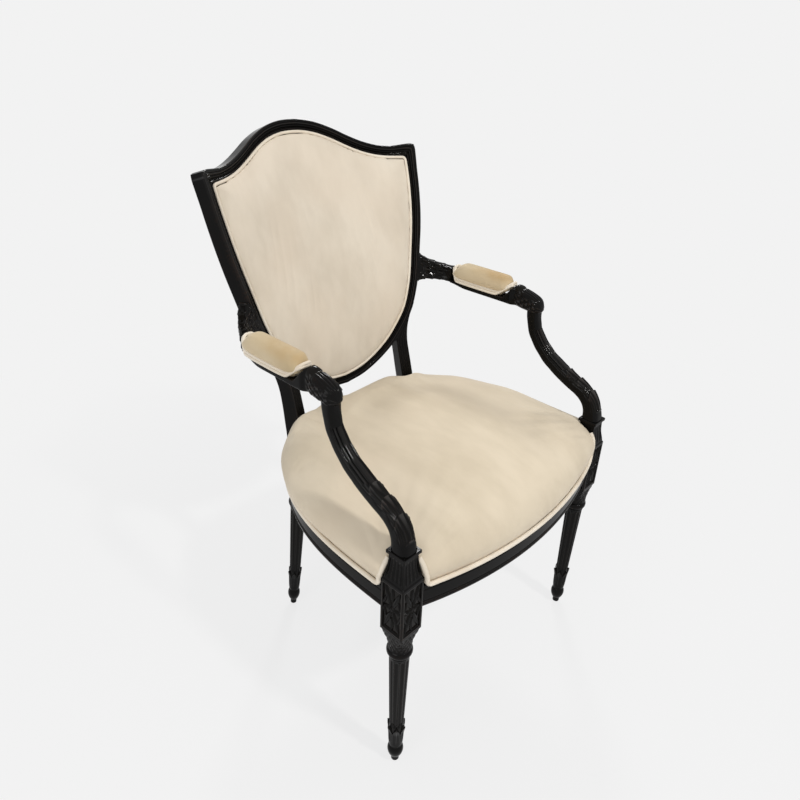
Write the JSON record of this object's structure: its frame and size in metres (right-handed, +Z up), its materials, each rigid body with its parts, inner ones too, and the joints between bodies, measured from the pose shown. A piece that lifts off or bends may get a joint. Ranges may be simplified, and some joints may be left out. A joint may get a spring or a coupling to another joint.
{
  "type": "shield back armchair",
  "caption": "Armchair with turned and squared wooden legs, S-shaped arm supports, padded arms, a shield-shaped upholstered back and a domed upholstered seat with piping.",
  "frame": {"origin": "on the floor, under the middle of the chair in x and y", "axes": "+Z up, the sitter faces -Y, +X to the right of someone who looks at the back of the chair from its front, which is the sitter's left"},
  "size_m": [0.575, 0.6428, 0.96],
  "materials": {
    "black_lacquer": "glossy black lacquer over carved wood, rubbed brown along the edges",
    "beech": "bare beech",
    "velvet": "cream cotton velvet with a short brushed pile",
    "piping": "cord covered in the cream velvet",
    "stuffing": "foam and hair stuffing",
    "jute": "woven jute",
    "cambric": "thin black cambric",
    "steel": "plain steel"
  },
  "bodies": {
    "root": {"front_leg_right": "black_lacquer", "front_leg_left": "black_lacquer", "back_post_right": "black_lacquer", "back_post_left": "black_lacquer", "arm_support_right": "black_lacquer", "arm_support_left": "black_lacquer", "arm_right": "black_lacquer", "arm_left": "black_lacquer", "crest_rail": "black_lacquer", "shield_lower_rail": "black_lacquer", "front_rail": "black_lacquer", "side_rail_right": "black_lacquer", "side_rail_left": "black_lacquer", "rear_rail": "black_lacquer", "front_corner_block_right": "beech", "front_corner_block_left": "beech", "rear_corner_block_right": "beech", "rear_corner_block_left": "beech", "front_block_screw_1_right": "steel", "front_block_screw_1_left": "steel", "front_block_screw_2_right": "steel", "front_block_screw_2_left": "steel", "rear_block_screw_1_right": "steel", "rear_block_screw_1_left": "steel", "rear_block_screw_2_right": "steel", "rear_block_screw_2_left": "steel", "arm_screw_right": "steel", "arm_screw_left": "steel", "arm_dowel_right": "beech", "arm_dowel_left": "beech", "crest_dowel_right": "beech", "crest_dowel_left": "beech", "lower_rail_dowel_right": "beech", "lower_rail_dowel_left": "beech", "seat_webbing": "jute", "seat_burlap": "jute", "seat_foam": "stuffing", "seat_cover": "velvet", "seat_welt_front": "piping", "seat_welt_right": "piping", "seat_welt_left": "piping", "seat_welt_rear": "piping", "dust_cover": "cambric", "back_webbing": "jute", "back_foam": "stuffing", "inside_back_cover": "velvet", "inside_back_welt": "piping", "outside_back_cover": "velvet", "outside_back_welt": "piping", "arm_pad_right": "stuffing", "arm_pad_left": "stuffing", "arm_pad_cover_right": "velvet", "arm_pad_cover_left": "velvet", "arm_pad_welt_right": "piping", "arm_pad_welt_left": "piping"}
  },
  "joints": []
}
